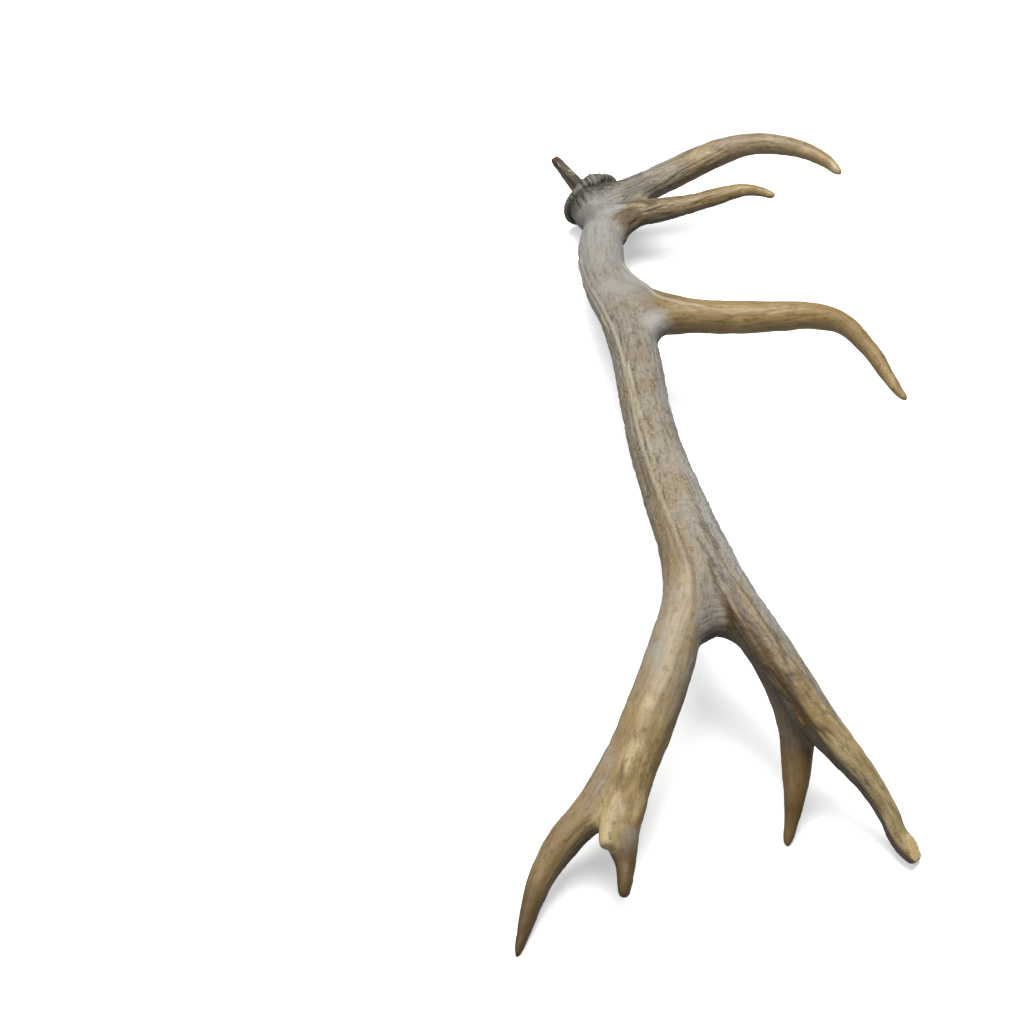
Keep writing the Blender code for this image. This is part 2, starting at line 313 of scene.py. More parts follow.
# The webs and the saddle fill the crotches between limbs. Swelling the skin and shrinking it again
# rounds what is left of them.
LIMBS = {
    "stem": STEM, "rear_tine": REAR_TINE, "stump": STUMP, "front_crown": FRONT_CROWN,
    "inner_tine": INNER_TINE, "trez": TREZ, "brow": BROW, "bez": BEZ,
    "crown_web": CROWN_WEB, "fork_saddle": FORK_SADDLE, "trez_web": TREZ_WEB,
    "trez_crotch": TREZ_CROTCH, "bez_web": BEZ_WEB,
}
limbs = bmesh.new()
for line in LIMBS.values():
    sweep(limbs, *growth_line(line))
antler = placed("antler", limbs)
skin(antler, SKIN_STEP)
swell(antler, CROTCH_FILL)
skin(antler, SKIN_STEP)
swell(antler, -CROTCH_FILL)
skin(antler, SKIN_STEP)
smooth(antler, 5)
growth = settled(antler)

# The last point of the front crown is broken off: its tip ends in a flat slanting face.
BREAK = (Vector((131.3, -395.5, 12)) - ORIGIN) * MM
BREAK_FACING = Vector((0.75, -0.25, 0.61)).normalized()
BREAK_REACH = 26 * MM
HAIR = 0.01 * MM
tip = [face for face in growth.faces if (face.verts[0].co - BREAK).length < BREAK_REACH]
tip += list({item for face in tip for item in (*face.edges, *face.verts)})
bmesh.ops.bisect_plane(
    growth, geom=tip, dist=HAIR, plane_co=BREAK, plane_no=BREAK_FACING, clear_outer=True)
bmesh.ops.holes_fill(growth, edges=[edge for edge in growth.edges if edge.is_boundary])


# Seams. Long raised ridges of paler bone run down the beam into the arms of the crown. Each is a
# bead swept along the side of a limb and sunk into it at both ends.
SEAMS = {
    # The limb, then for each point of it that the seam passes: its number, the side that the seam
    # lies on, how far it stands out and how thick the bead is, in millimetres.
    "beam_seam": (STEM, (
        (3.3, (-0.93, 0, 0.3), -0.6, 1.7), (3.9, (-0.95, 0, 0.32), 0.7, 1.9),
        (5, (-0.87, -0.05, 0.49), 0.8, 1.9), (6, (-0.77, -0.03, 0.64), 0.8, 1.9),
        (7, (-0.66, 0, 0.75), 0.7, 1.9), (8, (-0.66, 0, 0.75), 0.6, 1.9),
        (9, (-0.5, -0.03, 0.86), 0.6, 2.0), (10, (-0.2, -0.06, 0.98), 0.6, 2.2),
        (10.7, (0.2, -0.06, 0.98), 0.7, 3.4), (11.5, (0.36, -0.18, 0.9), 0.8, 6.4),
        (12.5, (0.28, -0.26, 0.92), 0.7, 6.4), (13.5, (0.1, -0.38, 0.91), 0.5, 6.0),
        (14.5, (-0.1, -0.4, 0.91), 0.3, 6.0), (15.7, (-0.4, -0.33, 0.83), 0.1, 5.0))),
    "left_twin": (STEM, (
        (3.2, (-1, 0, 0.02), -0.8, 1.6), (4, (-0.99, 0, 0.12), 0.4, 1.7),
        (4.8, (-0.97, -0.04, 0.24), 0.4, 1.7), (5.5, (-0.93, 0, 0.36), -0.6, 1.6))),
    "right_twin": (STEM, (
        (6.5, (-0.54, 0, 0.84), -0.6, 1.6), (7.2, (-0.5, 0, 0.87), 0.4, 1.7),
        (7.9, (-0.44, 0, 0.9), 0.4, 1.7), (8.6, (-0.38, 0, 0.93), -0.6, 1.6))),
    "web_seam": (TREZ_WEB, (
        (1.4, (0.5, 0.2, 0.84), -0.8, 1.5), (2.4, (0.45, 0.2, 0.87), 0.3, 1.6),
        (3.2, (0.45, 0.1, 0.88), 0.4, 1.6), (4.1, (0.5, -0.1, 0.85), 0.2, 1.5))),
    "trez_seam": (TREZ, (
        (0.6, (0.55, 0.4, 0.73), 0.0, 1.5), (1.1, (0.3, 0.2, 0.93), 0.4, 1.6),
        (1.9, (0.1, -0.1, 1), 0.5, 1.7), (2.6, (0, -0.2, 0.98), 0.5, 1.7),
        (3.3, (0, -0.3, 0.95), -0.6, 1.6))),
    "crown_seam": (FRONT_CROWN, (
        (4.2, (-0.3, -0.14, 0.94), 0.1, 4.0), (5, (-0.55, -0.42, 0.72), 0.8, 4.4),
        (5.8, (-0.64, -0.5, 0.59), 1.5, 5.0), (6.6, (-0.68, -0.58, 0.47), 1.7, 5.0),
        (7.3, (-0.74, -0.62, 0.26), 1.4, 4.6), (8, (-0.76, -0.6, 0.05), 0.6, 4.0))),
}
# Past both ends a bead goes on for this many millimetres, while it dives into the bone by so many
# times its own thickness.
SUNK_REACH = 10
SUNK_DEPTH = 3


def seam_line(limb, passes):
    """The centre line of a bead: places and radii, in metres."""
    points = [Vector(point) for point in limb]
    bead = []
    for k, side, height, thick in passes:
        first = min(int(k), len(limb) - 2)
        here = points[first].lerp(points[first + 1], k - first)
        ahead = (points[first + 1] - points[first]).xyz
        out = Vector(side)
        out = (out - out.project(ahead)).normalized()
        bead.append((*(here.xyz + out * (here.w + height - thick)), thick))
    sunk = []
    for end, inward, (_, side, _, thick) in (
            (bead[0], bead[1], passes[0]), (bead[-1], bead[-2], passes[-1])):
        onward = (Vector(end).xyz - Vector(inward).xyz).normalized() * SUNK_REACH
        down = Vector(side).normalized() * SUNK_DEPTH * thick
        sunk.append((*(Vector(end).xyz + onward - down), thick))
    return growth_line([sunk[0], *bead, sunk[1]])


for limb, passes in SEAMS.values():
    sweep(growth, *seam_line(limb, passes))


# Burr. A ring of knobs of bone stands round the base, where the antler sat on the head, with the
# short sawn stub behind it. The knobs are egg-shaped lumps of uneven size that are fused on.
BURR = (Vector((-100.1, 428.6, 33.3)) - ORIGIN) * MM
OUTWARD = Vector((-0.51, 0.83, 0.16)).normalized()
BURR_RADIUS = 28.8 * MM
SKIRT = (
    (-100.1, 428.6, 33.3, 28.8),
    (-97.2, 423.8, 32.4, 27),
    (-95.6, 417, 33.2, 24.2),
    (-96, 407, 36, 21.5),
)
STUB_RADIUS = 22 * MM
STUB_SPREAD = 3 * MM
STUB_LENGTH = 6.5 * MM
STUB_ROOT = 22 * MM
LIP_THICK = 4.6 * MM
LIP_OUT = 0.6 * MM
LIP_BACK = 2.5 * MM
PEARLS = 34
PEARL_RADIUS = 3.9 * MM
PEARL_SHAPE = (1.05, 0.74, 1.4, 1)
# The rim is smooth round this turn about the burr's axis, for so far on both sides, in radians.
SMOOTH_RIM = 5.95
SMOOTH_SPREAD = 0.95
burr_frame = Matrix.Translation(BURR) @ OUTWARD.to_track_quat("Z", "Y").to_matrix().to_4x4()

bmesh.ops.create_cone(
    growth, cap_ends=True, segments=48, radius1=STUB_RADIUS + STUB_SPREAD, radius2=STUB_RADIUS,
    depth=STUB_LENGTH + STUB_ROOT,
    matrix=burr_frame @ Matrix.Translation((0, 0, (STUB_LENGTH - STUB_ROOT) / 2)),
)
sweep(growth, *growth_line(SKIRT), sides=48)
lip = bmesh.ops.create_circle(
    growth, segments=14, radius=LIP_THICK,
    matrix=burr_frame @ Matrix.Translation((BURR_RADIUS + LIP_OUT, 0, -LIP_BACK))
    @ Matrix.Rotation(math.pi / 2, 4, "X"))["verts"]
bmesh.ops.spin(
    growth, geom=[*lip, *{edge for vert in lip for edge in vert.link_edges}], cent=BURR,
    axis=OUTWARD, angle=math.tau, steps=72, use_merge=True)

# The knobs are spaced unevenly: a count of them runs faster and slower on its way round. Their size
# and place vary too, and they are flat where the rim is smooth.
turns = np.linspace(-math.pi, math.pi, 1441)
knob_count = PEARLS * turns + 1.4 * np.sin(3 * turns + 1) + 0.8 * np.sin(8 * turns + 2)
for k in range(PEARLS):
    turn = float(np.interp(math.tau * (k - PEARLS // 2), knob_count, turns))
    uneven = noise.noise(Vector((3 * math.cos(turn), 3 * math.sin(turn), 5.0)))
    chance = noise.noise(Vector((k * 2.3, 3.1, 0.7)))
    off_smooth = math.remainder(turn - SMOOTH_RIM, math.tau)
    bold = 1 - 0.55 * math.exp(-(off_smooth / SMOOTH_SPREAD) ** 4)
    size = PEARL_RADIUS * bold * (1.1 + 0.5 * uneven + 0.8 * chance)
    out = BURR_RADIUS + 1.5 * MM * uneven
    along = -2 * MM + 3 * MM * noise.noise(Vector((k * 1.7, 0.4, 2.2)))
    place = burr_frame @ Matrix.Rotation(turn, 4, "Z") @ Matrix.Translation((out, 0, along))
    bmesh.ops.create_icosphere(
        growth, subdivisions=3, radius=size, matrix=place @ Matrix.Diagonal(PEARL_SHAPE))

antler = placed("antler", growth)
skin(antler, FINE_STEP)
smooth(antler, 3)
growth = settled(antler)


# Grain. The bone is furrowed along its growth: a few shallow channels where blood vessels lay, thin
# striations between them, and a crust of small pearls on the beam. Tines are polished smooth.
def along_growth(spots, places, radii):
    """For each spot: how far it is from a limb's surface, and where it lies along and round it."""
    ahead = np.array(headings(places))
    centres = np.array(places)
    radii = np.array(radii)
    side = [Vector(ahead[0]).orthogonal().normalized()]
    for a, b in zip(ahead, ahead[1:]):
        side.append(Vector(a).rotation_difference(Vector(b)) @ side[-1])
    side = np.array(side)
    up = np.cross(ahead, side)
    reach = np.concatenate([[0], np.cumsum(np.linalg.norm(np.diff(centres, axis=0), axis=1))])
    nearest = np.empty(len(spots), int)
    for first in range(0, len(spots), 20000):
        part = spots[first:first + 20000]
        nearest[first:first + 20000] = ((part[:, None] - centres[None]) ** 2).sum(2).argmin(1)
    away = spots - centres[nearest]
    on = (away * ahead[nearest]).sum(1)
    x, y = (away * side[nearest]).sum(1), (away * up[nearest]).sum(1)
    past = np.where((nearest == 0) & (on < 0) | (nearest == len(centres) - 1) & (on > 0), on, 0)
    gap = np.hypot(np.hypot(x, y), past) - radii[nearest]
    return gap, np.stack([x, y, reach[nearest] + on], 1), radii[nearest], reach[-1]


def ripple(points):
    """A soft random value, below and above nought, at each point."""
    return np.fromiter((noise.noise(point) for point in points.tolist()), float, len(points))


def rise(value, low, high):
    """From nought at low to one at high, with a soft start and end."""
    t = np.clip((value - low) / (high - low), 0, 1)
    return t * t * (3 - 2 * t)


def stretch(value, start, full, fading, gone):
    """One between full and fading, nothing before start and after gone."""
    return rise(value, start, full) * (1 - rise(value, fading, gone))


# Stains along each limb, from its root to its tip: the share of the way, then how much grey dust,
# ochre, ivory and umber it has, how deep its furrows and ribs are, and how pearled it is.
# The umber of the bez web and of the inner tine is partly painted shade.
STAINS = {
    "stem": (
        (0.00, 0.8, 0.0, 0.0, 0.1, 0.2, 0.0), (0.05, 1.0, 0.0, 0.0, 0.0, 0.3, 0.0),
        (0.14, 0.9, 0.0, 0.1, 0.0, 0.4, 0.0), (0.20, 0.6, 0.1, 0.0, 0.2, 0.4, 0.6),
        (0.30, 0.5, 0.15, 0.0, 0.15, 0.5, 1.0), (0.45, 0.4, 0.3, 0.2, 0.0, 0.5, 1.0),
        (0.60, 0.3, 0.4, 0.0, 0.15, 0.6, 1.0), (0.68, 0.15, 0.5, 0.0, 0.4, 0.4, 0.4),
        (0.72, 0.3, 0.5, 0.3, 0.1, 0.3, 0.2), (0.80, 0.4, 0.5, 0.1, 0.25, 0.2, 0.1),
        (0.88, 0.1, 1.0, 0.5, 0.1, 0.4, 0.2), (0.93, 0.1, 1.0, 0.5, 0.1, 0.3, 0.1),
        (0.95, 0.5, 0.3, 0.1, 0.5, 0.3, 0.0), (0.97, 0.1, 0.6, 0.0, 0.9, 0.2, 0.0),
        (1.00, 0.0, 0.7, 0.0, 1.0, 0.1, 0.0),
    ),
    "rear_tine": (
        (0.00, 0.7, 0.3, 0.0, 0.0, 0.5, 0.1), (0.35, 0.2, 0.7, 0.1, 0.1, 0.5, 0.1),
        (0.70, 0.0, 0.8, 0.0, 0.6, 0.4, 0.0), (1.00, 0.0, 0.5, 0.0, 1.1, 0.1, 0.0),
    ),
    "stump": (
        (0.00, 0.2, 0.7, 0.5, 0.0, 0.3, 0.1), (0.50, 0.0, 0.7, 1.1, 0.0, 0.1, 0.0),
        (1.00, 0.0, 0.5, 1.6, 0.0, 0.0, 0.0),
    ),
    "front_crown": (
        (0.00, 0.6, 0.1, 0.0, 0.0, 0.5, 1.0), (0.33, 0.35, 0.3, 0.0, 0.15, 0.4, 1.0),
        (0.42, 0.5, 0.2, 0.0, 0.2, 0.7, 0.9), (0.55, 0.3, 0.5, 0.0, 0.4, 0.75, 0.7),
        (0.70, 0.2, 0.8, 0.1, 0.6, 0.8, 0.3), (0.80, 0.2, 0.9, 0.6, 0.1, 0.7, 0.2),
        (0.87, 0.1, 0.9, 0.8, 0.0, 0.6, 0.2), (0.95, 0.0, 1.0, 0.7, 0.1, 0.6, 0.2),
        (1.00, 0.0, 1.1, 0.5, 0.1, 0.4, 0.1),
    ),
    "inner_tine": (
        (0.00, 0.5, 0.1, 0.0, 0.6, 0.4, 0.1), (0.58, 0.4, 0.2, 0.0, 0.6, 0.4, 0.1),
        (0.72, 0.0, 1.4, 0.0, 0.7, 0.2, 0.0), (1.00, 0.0, 1.5, 0.0, 0.7, 0.1, 0.0),
    ),
    "trez": (
        (0.00, 0.9, 0.1, 0.0, 0.0, 0.2, 0.2), (0.165, 0.6, 0.3, 0.0, 0.6, 0.2, 0.0),
        (0.22, 0.2, 0.9, 0.0, 0.5, 0.4, 0.0), (0.32, 0.0, 0.9, 0.2, 0.1, 0.4, 0.0),
        (0.80, 0.0, 1.0, 0.3, 0.0, 0.3, 0.0), (1.00, 0.0, 1.0, 0.5, 0.0, 0.1, 0.0),
    ),
    "brow": (
        (0.00, 0.8, 0.0, 0.0, 0.1, 0.6, 0.2), (0.20, 0.6, 0.3, 0.2, 0.0, 0.7, 0.4),
        (0.40, 0.4, 0.5, 0.4, 0.0, 0.6, 0.3), (0.80, 0.3, 0.6, 0.3, 0.0, 0.4, 0.1),
        (0.92, 0.0, 0.8, 0.5, 0.0, 0.1, 0.0), (1.00, 0.0, 0.8, 0.6, 0.0, 0.1, 0.0),
    ),
    "bez": (
        (0.00, 0.8, 0.1, 0.0, 0.1, 0.4, 0.1), (0.10, 0.8, 0.1, 0.2, 0.0, 0.6, 0.1),
        (0.17, 0.2, 0.5, 0.8, 0.1, 1.1, 0.3), (0.35, 0.2, 0.6, 0.2, 0.2, 0.9, 0.3),
        (0.60, 0.1, 0.8, 0.2, 0.2, 0.6, 0.2), (0.85, 0.0, 0.9, 0.4, 0.0, 0.2, 0.0),
        (1.00, 0.0, 0.9, 0.5, 0.0, 0.0, 0.0),
    ),
    "crown_web": ((0.00, 0.6, 0.1, 0.0, 0.6, 0.9, 0.2), (1.00, 0.5, 0.1, 0.0, 0.6, 0.9, 0.2)),
    "fork_saddle": ((0.00, 0.2, 0.3, 0.0, 0.15, 0.4, 1.0), (0.40, 0.35, 0.1, 0.0, 0.5, 0.5, 0.9),
                    (1.00, 0.4, 0.1, 0.0, 0.8, 0.7, 0.4)),
    "trez_web": ((0.00, 1.0, 0.0, 0.0, 0.0, 0.1, 0.0), (1.00, 0.7, 0.1, 0.0, 0.3, 0.5, 0.3)),
    "trez_crotch": ((0.00, 1.0, 0.0, 0.0, 0.3, 0.1, 0.1), (0.60, 0.9, 0.0, 0.0, 0.3, 0.2, 0.0),
                    (1.00, 0.3, 0.8, 0.0, 0.6, 0.2, 0.0)),
    "bez_web": ((0.00, 0.8, 0.0, 0.0, 0.2, 0.2, 0.0), (0.45, 0.4, 0.2, 0.0, 0.7, 1.1, 0.0),
                (1.00, 0.1, 0.4, 0.0, 0.8, 1.2, 0.0)),
}
FURROW_DEPTH = 0.9 * MM
RIB_HEIGHT = 0.5 * MM
STRIA_DEPTH = 0.35 * MM
PEARL_HEIGHT = 0.8 * MM
LUMP_DEPTH = 0.5 * MM
LUMPS_PER_METRE = 90
# How wide and how long the ripples are that make the furrows, ribs, striations and crust.
FURROW_SIZE = (0.0062, 0.058)
RIB_SIZE = (0.0046, 0.052)
STRIA_SIZE = (0.0027, 0.024)
CRUST_SIZE = (0.0023, 0.004)
# Over how much depth one limb's stains pass into the next one's.
BLEND = 2.8 * MM

# How dark each limb's underside is painted with shade and some dirt, and how far it leans from
# below to +X.
SHADED_SIDES = {
    "stem": (0.5, 0), "rear_tine": (0.6, 1.2), "stump": (0.2, 0), "front_crown": (1.1, -0.6),
    "inner_tine": (0.4, 0), "trez": (0.1, 0), "brow": (0.1, 0), "bez": (0.8, 0),
    "crown_web": (0.8, 0), "fork_saddle": (0.5, 0), "trez_web": (0.2, 0), "trez_crotch": (0.3, 0),
    "bez_web": (1.1, 0),
}

mesh = bpy.data.meshes.new("antler")
growth.to_mesh(mesh)
growth.free()
count = len(mesh.vertices)
spots = np.empty(count * 3, np.float32)
mesh.vertices.foreach_get("co", spots)
spots = spots.reshape(-1, 3).astype(float)
normals = np.empty(count * 3, np.float32)
mesh.vertices.foreach_get("normal", normals)
normals = normals.reshape(-1, 3).astype(float)

found = {name: along_growth(spots, *growth_line(line)) for name, line in LIMBS.items()}
gaps = np.stack([gap for gap, _, _, _ in found.values()])
shares = np.exp(-(gaps - gaps.min(0)) / BLEND)
shares /= shares.sum(0)
own = rise(shares.max(0), 0.55, 0.9)

stain = np.zeros((count, 6))
relief = np.zeros(count)
furrow = np.zeros(count)
lined = np.zeros(count)
shade_and_dirt = np.zeros(count)
lean = np.zeros(count)
grain = np.zeros((count, 3))
best = shares.argmax(0)
for k, (name, (gap, local, radius, length)) in enumerate(found.items()):
    near = shares[k] > 0.02
    share = shares[k][near]
    here = local[near]
    table = np.array(STAINS[name])
    marks = np.stack([np.interp(here[:, 2] / length, table[:, 0], table[:, c + 1])
                      for c in range(6)], 1)
    stain[near] += marks * share[:, None]
    shade_and_dirt[near] += SHADED_SIDES[name][0] * share
    lean[near] += SHADED_SIDES[name][1] * share
    far = np.maximum(np.hypot(here[:, 0], here[:, 1]), 1e-6)
    round_it = here[:, :2] / far[:, None] * (0.006 + 0.6 * radius[near])[:, None]
    seed = 7.3 * k

    def grown(size, shift=0):
        return ripple(np.column_stack([round_it / size[0], here[:, 2] / size[1] + seed + shift]))

    channel = 1 - rise(np.abs(grown(FURROW_SIZE)), 0.0, 0.18)
    rib = 1 - rise(np.abs(grown(RIB_SIZE, 3)), 0.0, 0.16)
    stria = 1 - rise(np.abs(grown(STRIA_SIZE)), 0.0, 0.3)
    depth, pearled = marks[:, 4], marks[:, 5]
    relief[near] += share * (
        RIB_HEIGHT * rib * depth - FURROW_DEPTH * channel * depth
        - STRIA_DEPTH * stria * (0.1 + 0.7 * depth) + PEARL_HEIGHT * grown(CRUST_SIZE) * pearled)
    furrow[near] += share * np.clip(channel * depth + 0.4 * stria * depth, 0, 1)
    lined[near] += share * depth
    mine = best == k
    grain[mine] = local[mine]

# The seams: a thin pale line on the beam that widens to an ivory band on the rear arm of the crown.
# Each thin one fades at its ends, and dirt has worn a groove beside it.
BAND_SPREAD = 5 * MM
BAND_DUST_SPREAD = 30 * MM
SEAM_HEIGHT = 0.3 * MM
GROOVE_DEPTH = 0.3 * MM
beads = {name: along_growth(spots, *seam_line(*seam)) for name, seam in SEAMS.items()}
gap, local, thick, length = beads["beam_seam"]
broad = rise(thick, 3 * MM, 6 * MM)
crest = broad * np.exp(-(np.maximum(gap, 0) / BAND_SPREAD) ** 2)
crest *= 1 - 0.65 * rise(local[:, 2] / length, 0.65, 0.78)
crest *= 1 - rise(local[:, 2] / length, 0.85, 1.05)
stain[:, 0] += broad * np.exp(-np.maximum(gap, 0) / BAND_DUST_SPREAD) * (0.5 - crest)
seam = np.zeros(count)
beside = np.zeros(count)
for name in ("beam_seam", "left_twin", "right_twin", "web_seam", "trez_seam"):
    gap, local, _, length = beads[name]
    shown = rise(np.minimum(local[:, 2], length - local[:, 2]), 6 * MM, 26 * MM) * (1 - broad)
    seam = np.maximum(seam, shown * (1 - rise(gap, -0.2 * MM, 0.9 * MM)))
    beside = np.maximum(beside, shown * stretch(gap, 0.5 * MM, 1.5 * MM, 1.8 * MM, 3.5 * MM))
relief -= GROOVE_DEPTH * beside
relief *= 1 - 0.8 * seam
relief += SEAM_HEIGHT * seam
seam_tint = seam * (0.16 + 0.3 * rise(spots[:, 1], -0.15, 0.12))

# The front arm of the crown has painted shade in umber left of its ridge, and is silver on its
# outer side.
LEE_SPREAD = 8 * MM
gap, local, _, length = beads["crown_seam"]
painted_lee_shade = np.exp(-np.maximum(gap, 0) / LEE_SPREAD) * rise(-normals[:, 0], 0.1, 0.5)
stain[:, 3] += 0.9 * painted_lee_shade * rise(local[:, 2] / length, 0.2, 0.45)
outer = (shares[list(LIMBS).index("front_crown")] * rise(normals[:, 0], 0.05, 0.7)
         * stretch(-spots[:, 1], 0.0, 0.1, 0.3, 0.37))
stain[:, 0] += 0.5 * outer
stain[:, 1] -= 0.5 * outer
stain[:, 2] += 0.2 * outer
stain[:, 3] -= 0.4 * outer
lined *= 1 - 0.4 * outer
furrow *= 1 - 0.4 * outer

# The steep flank of the beam below the third tine is smooth, dusty grey, and darkened with painted
# shade.
flank_dust_and_shade = (rise(normals[:, 0], 0.3, 0.75) * stretch(spots[:, 1], -0.03, 0.06, 0.19, 0.23)
         * (spots[:, 0] < -0.03))
stain[:, 0] += 0.9 * flank_dust_and_shade
stain[:, 3] += 0.4 * flank_dust_and_shade
stain[:, 5] *= 1 - 0.8 * flank_dust_and_shade
lined *= 1 - 0.7 * flank_dust_and_shade

# Round the burr the grain fans out from its knobs over the collar, and the base is sawn flat.
# Places here are how far behind the burr's middle they lie and how wide of its axis.
BURR_REACH = 45 * MM
COLLAR_RADIUS = 24 * MM
COLLAR_LINE_SIZE = (0.0034, 0.0034, 0.04)
COLLAR_LINE_DEPTH = 0.55 * MM
GAP_DEPTH = 1.4 * MM
GAP_SEED = 96.5
from_burr = spots - np.array(BURR)
behind = from_burr @ np.array(OUTWARD)
wide = np.linalg.norm(from_burr - behind[:, None] * np.array(OUTWARD), axis=1)
sawn = (rise(behind, STUB_LENGTH - 3 * MM, STUB_LENGTH - MM)
        * (1 - rise(wide, STUB_RADIUS + 0.6 * MM, STUB_RADIUS + 1.6 * MM)))
on_burr = rise(behind, -17 * MM, -5 * MM) * rise(wide, 20 * MM, 27 * MM) * (wide < BURR_REACH)
collar = rise(behind, -30 * MM, -22 * MM) * (wide < BURR_REACH)
turned = from_burr @ np.array(burr_frame.to_3x3())
fan = np.column_stack(
    [turned[:, :2] / np.maximum(wide, 1e-6)[:, None] * COLLAR_RADIUS, behind + wide])
here = collar > 0.5
grain[here] = fan[here]
own *= 1 - 4 * collar * (1 - collar)
lines = 1 - rise(np.abs(ripple(fan[here] / np.array(COLLAR_LINE_SIZE))), 0, 0.25)
relief[here] -= COLLAR_LINE_DEPTH * lines * (1 - sawn[here])
furrow[here] = np.maximum(furrow[here], 0.6 * lines)
lined = np.maximum(lined, 0.5 * collar)

# Dark gaps part the knobs, deeper in some places than in others, and none where the rim is smooth.
bearing = np.arctan2(turned[:, 1], turned[:, 0])
off_smooth = np.remainder(bearing - SMOOTH_RIM + math.pi, math.tau) - math.pi
smooth_rim = np.exp(-(off_smooth / SMOOTH_SPREAD) ** 4)
knobbed = on_burr * (1 - smooth_rim) * (1 - sawn)
between = (0.5 - 0.5 * np.cos(np.interp(bearing, turns, knob_count))) ** 2 * knobbed
around = np.column_stack([3 * np.cos(bearing), 3 * np.sin(bearing), np.full(count, GAP_SEED)])
between *= np.clip(0.8 + 2 * ripple(around), 0.1, 1.3)
relief -= GAP_DEPTH * between
furrow = np.maximum(furrow, 2.0 * between)

# Dirt and painted shade lie on the burr, darkest at its smooth rim, and thin out over the neck on
# the left.
# Painted shade darkens faces turned to the left.
left_facing_shade = rise(-normals[:, 0], -0.2, 0.6)
burr_dirt_and_shade = on_burr * (0.9 + 0.4 * smooth_rim)
burr_dirt_and_shade = np.maximum(
    burr_dirt_and_shade,
    rise(behind, -40 * MM, -13 * MM) * (wide < BURR_REACH) * (0.85 + 0.3 * left_facing_shade))
burr_dirt_and_shade = np.maximum(
    burr_dirt_and_shade, 0.6 * rise(behind, -90 * MM, -35 * MM) * (wide < 60 * MM) * left_facing_shade)

# The broken face is flat and clean; elsewhere the bone is a little lumpy.
broken = (rise((spots - np.array(BREAK)) @ np.array(BREAK_FACING), -1.2 * MM, -0.3 * MM)
          * (np.linalg.norm(spots - np.array(BREAK), axis=1) < BREAK_REACH)
          * rise(normals @ np.array(BREAK_FACING), 0.85, 0.96))
relief += LUMP_DEPTH * ripple(spots * LUMPS_PER_METRE)
relief *= (1 - sawn) * (1 - 0.5 * on_burr) * (1 - broken)

# The sawn face has a porous core and a sunken ring round the peg.
CORE_RADIUS = 14 * MM
PORE_DEPTH = 0.7 * MM
PORES_PER_METRE = 420
RING_RADIUS = 9.5 * MM
RING_DEPTH = 1.6 * MM
PEG_ROOT = BURR + OUTWARD * STUB_LENGTH + Vector((-2, -0.8, 0)) * MM
from_peg = np.linalg.norm(np.cross(spots - np.array(PEG_ROOT), np.array(OUTWARD)), axis=1)
core = sawn * (1 - rise(wide, CORE_RADIUS - 2 * MM, CORE_RADIUS + 2 * MM))
relief -= PORE_DEPTH * core * rise(ripple(spots * PORES_PER_METRE), -0.1, 0.35)
relief -= RING_DEPTH * sawn * (1 - rise(from_peg, RING_RADIUS - MM, RING_RADIUS + MM))
spots += normals * relief[:, None]
mesh.vertices.foreach_set("co", spots.astype(np.float32).ravel())
mesh.update()

# Hollows, darkened with dirt and painted shade: how far each point lies below those around it.
HOLLOW_DEPTH = 0.5 * MM
HOLLOW_REACH = 6
ends = np.empty(len(mesh.edges) * 2, np.int32)
mesh.edges.foreach_get("vertices", ends)
ends = ends.reshape(-1, 2)
level = spots.copy()
joins = np.bincount(ends.ravel(), minlength=count)[:, None]
for _ in range(HOLLOW_REACH):
    total = np.zeros_like(level)
    for axis in range(3):
        total[:, axis] = (np.bincount(ends[:, 0], level[ends[:, 1], axis], count)
                          + np.bincount(ends[:, 1], level[ends[:, 0], axis], count))
    level = total / joins
hollow = ((level - spots) * normals).sum(1) / HOLLOW_DEPTH


def mark(name, *values):
    """Keeps three values of each point on the mesh, for its material to read."""
    layer = mesh.attributes.new(name, "FLOAT_VECTOR", "POINT")
    layer.data.foreach_set("vector", np.column_stack(values).astype(np.float32).ravel())


own *= 1 - 0.7 * seam
# Painted shade, with some dirt, on the side of each limb that faces down.
underside_shade_and_dirt = rise(lean * normals[:, 0] - normals[:, 2], -0.3, 0.25) * shade_and_dirt
mark("stain", stain[:, 0], stain[:, 1], stain[:, 2])
mark("wear_and_shade", furrow, stain[:, 3], own)
mark("grime_and_shade", hollow, burr_dirt_and_shade, broken)
mark("ridge", lined, crest, stain[:, 5])
mark("base", sawn, core, seam_tint)
mark("shade", underside_shade_and_dirt, underside_shade_and_dirt, underside_shade_and_dirt)
mark("grain", grain)


# Bone finish: tan bone under grey dust on the beam, ochre polish on the tines, ivory and umber
# tips, dark dirt in the furrows, and a slight sheen where it is worn smooth.
# The group draws thin streaks along a piece, for bone and wood alike.
fibre = bpy.data.node_groups.new("fibre", "ShaderNodeTree")
for name, kind in (("Place", "Vector"), ("Across", "Float"), ("Along", "Float")):
    fibre.interface.new_socket(name, in_out="INPUT", socket_type="NodeSocket" + kind)
fibre.interface.new_socket("Fibre", in_out="OUTPUT", socket_type="NodeSocketFloat")
given = fibre.nodes.new("NodeGroupInput").outputs
spacing = fibre.nodes.new("ShaderNodeCombineXYZ")
drawn = fibre.nodes.new("ShaderNodeVectorMath")
drawn.operation = "MULTIPLY"
strands = fibre.nodes.new("ShaderNodeTexNoise")
strands.inputs["Scale"].default_value = 1
strands.inputs["Detail"].default_value = 3
for source, target in (
    (given["Across"], spacing.inputs["X"]), (given["Across"], spacing.inputs["Y"]),
    (given["Along"], spacing.inputs["Z"]), (given["Place"], drawn.inputs[0]),
    (spacing.outputs[0], drawn.inputs[1]), (drawn.outputs[0], strands.inputs["Vector"]),
    (strands.outputs["Fac"], fibre.nodes.new("NodeGroupOutput").inputs["Fibre"]),
):
    fibre.links.new(source, target)


